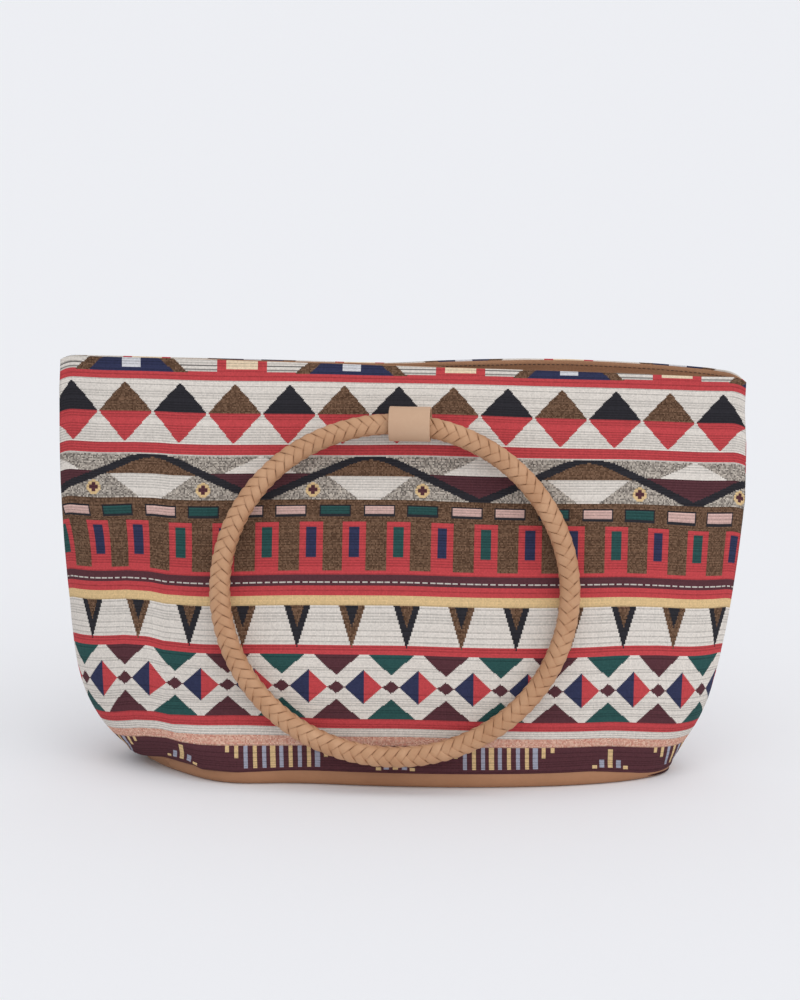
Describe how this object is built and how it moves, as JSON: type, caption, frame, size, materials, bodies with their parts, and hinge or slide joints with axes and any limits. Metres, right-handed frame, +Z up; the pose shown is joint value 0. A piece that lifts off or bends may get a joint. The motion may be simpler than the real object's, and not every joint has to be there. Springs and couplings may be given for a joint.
{
  "type": "tote bag with braided ring handles",
  "caption": "Woven tote bag with an oval leather base, a lined mouth and a braided leather ring handle hanging from a leather loop on each face.",
  "frame": {"origin": "centre of the bag's footprint, on the floor under the base", "axes": "+X along the width, to the right as seen from the front, +Y towards the back, +Z up"},
  "size_m": [0.4598, 0.1664, 0.27],
  "materials": {
    "woven_fabric": "coarse patterned weave",
    "base_leather": "smooth tan",
    "lining_cloth": "plain tan",
    "loop_leather": "smooth pale tan",
    "ring_leather": "braided pale tan"
  },
  "bodies": {
    "bag": {"front_panel": "woven_fabric", "back_panel": "woven_fabric", "base": "base_leather", "lining": "lining_cloth", "front_loop": "loop_leather", "back_loop": "loop_leather"},
    "front_ring": {"front_ring": "ring_leather"},
    "back_ring": {"back_ring": "ring_leather"}
  },
  "joints": [
    {"name": "front_ring_swing", "type": "hinge", "parent": "bag", "child": "front_ring", "pos_m": [0.004, -0.04157, 0.23697], "axis": [-1, 0, 0], "range_deg": [0, 180]},
    {"name": "back_ring_swing", "type": "hinge", "parent": "bag", "child": "back_ring", "pos_m": [0.004, 0.04477, 0.23716], "axis": [1, 0, 0], "range_deg": [0, 150]}
  ]
}
